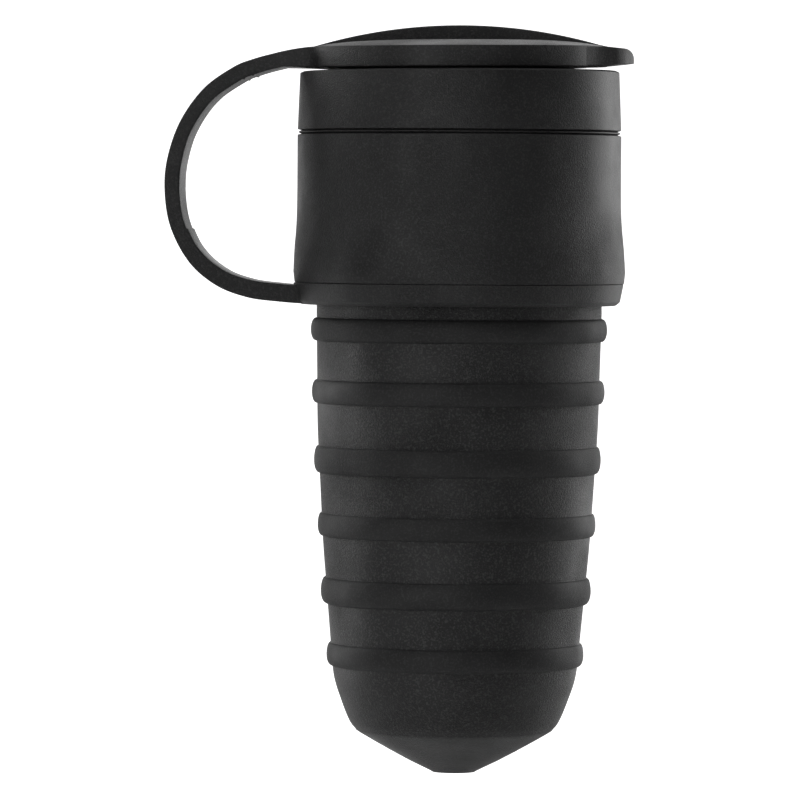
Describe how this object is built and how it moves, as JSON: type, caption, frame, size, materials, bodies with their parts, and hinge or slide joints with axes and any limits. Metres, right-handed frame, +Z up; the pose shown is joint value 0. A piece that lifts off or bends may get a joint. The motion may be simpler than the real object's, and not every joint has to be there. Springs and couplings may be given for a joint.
{
  "type": "trailing mains socket",
  "caption": "Rubber trailing mains socket with a ribbed conical cable boot and a round lid held by a C-shaped strap that swivels round the neck",
  "frame": {"origin": "centre of the cable entry's mouth, on the axis at the boot's tip", "axes": "+Z runs up the axis from the cable tip to the lid, +X points from the strap loop to the lid's pull tab, +Y is across the strap"},
  "size_m": [0.0788, 0.0562, 0.1262],
  "materials": {
    "rubber": "matte black moulded rubber with a fine grain",
    "insert": "matte black hard plastic",
    "brass": "stamped brass, lightly dulled",
    "steel": "zinc-plated steel"
  },
  "bodies": {
    "body": {"housing": "rubber", "insert_front": "insert", "insert_rear": "insert", "insert_screws": "steel", "insert_nuts": "brass", "line_contact": "brass", "neutral_contact": "brass", "contact_springs": "steel", "earth_bracket": "brass", "terminal_screws": "steel", "wire_plates": "steel", "clamp_nuts": "steel"},
    "ring": {"strap_ring": "rubber", "strap_lower": "rubber"},
    "strap": {"strap_upper": "rubber"},
    "lid": {"lid": "rubber", "strap_lid_end": "rubber", "pull_tab": "rubber"},
    "clamp": {"clamp_saddle": "insert", "clamp_screws": "steel"}
  },
  "joints": [
    {"name": "ring_swivel", "type": "hinge", "parent": "body", "child": "ring", "pos_m": [0, 0, 0.0808], "axis": [0, 0, 1], "continuous": true},
    {"name": "strap_bend", "type": "hinge", "parent": "ring", "child": "strap", "pos_m": [-0.0495, 0, 0.0987], "axis": [0, -1, 0], "range_deg": [0, 36]},
    {"name": "lid_hinge", "type": "hinge", "parent": "strap", "child": "lid", "pos_m": [-0.031, 0, 0.1213], "axis": [0, -1, 0], "range_deg": [0, 120]},
    {"name": "clamp_tighten", "type": "slide", "parent": "body", "child": "clamp", "axis": [-1, 0, 0], "range_m": [0, 0.003]}
  ],
  "couplings": [
    {"joint": "strap_bend", "follows": "lid_hinge", "ratio": 0.3}
  ]
}
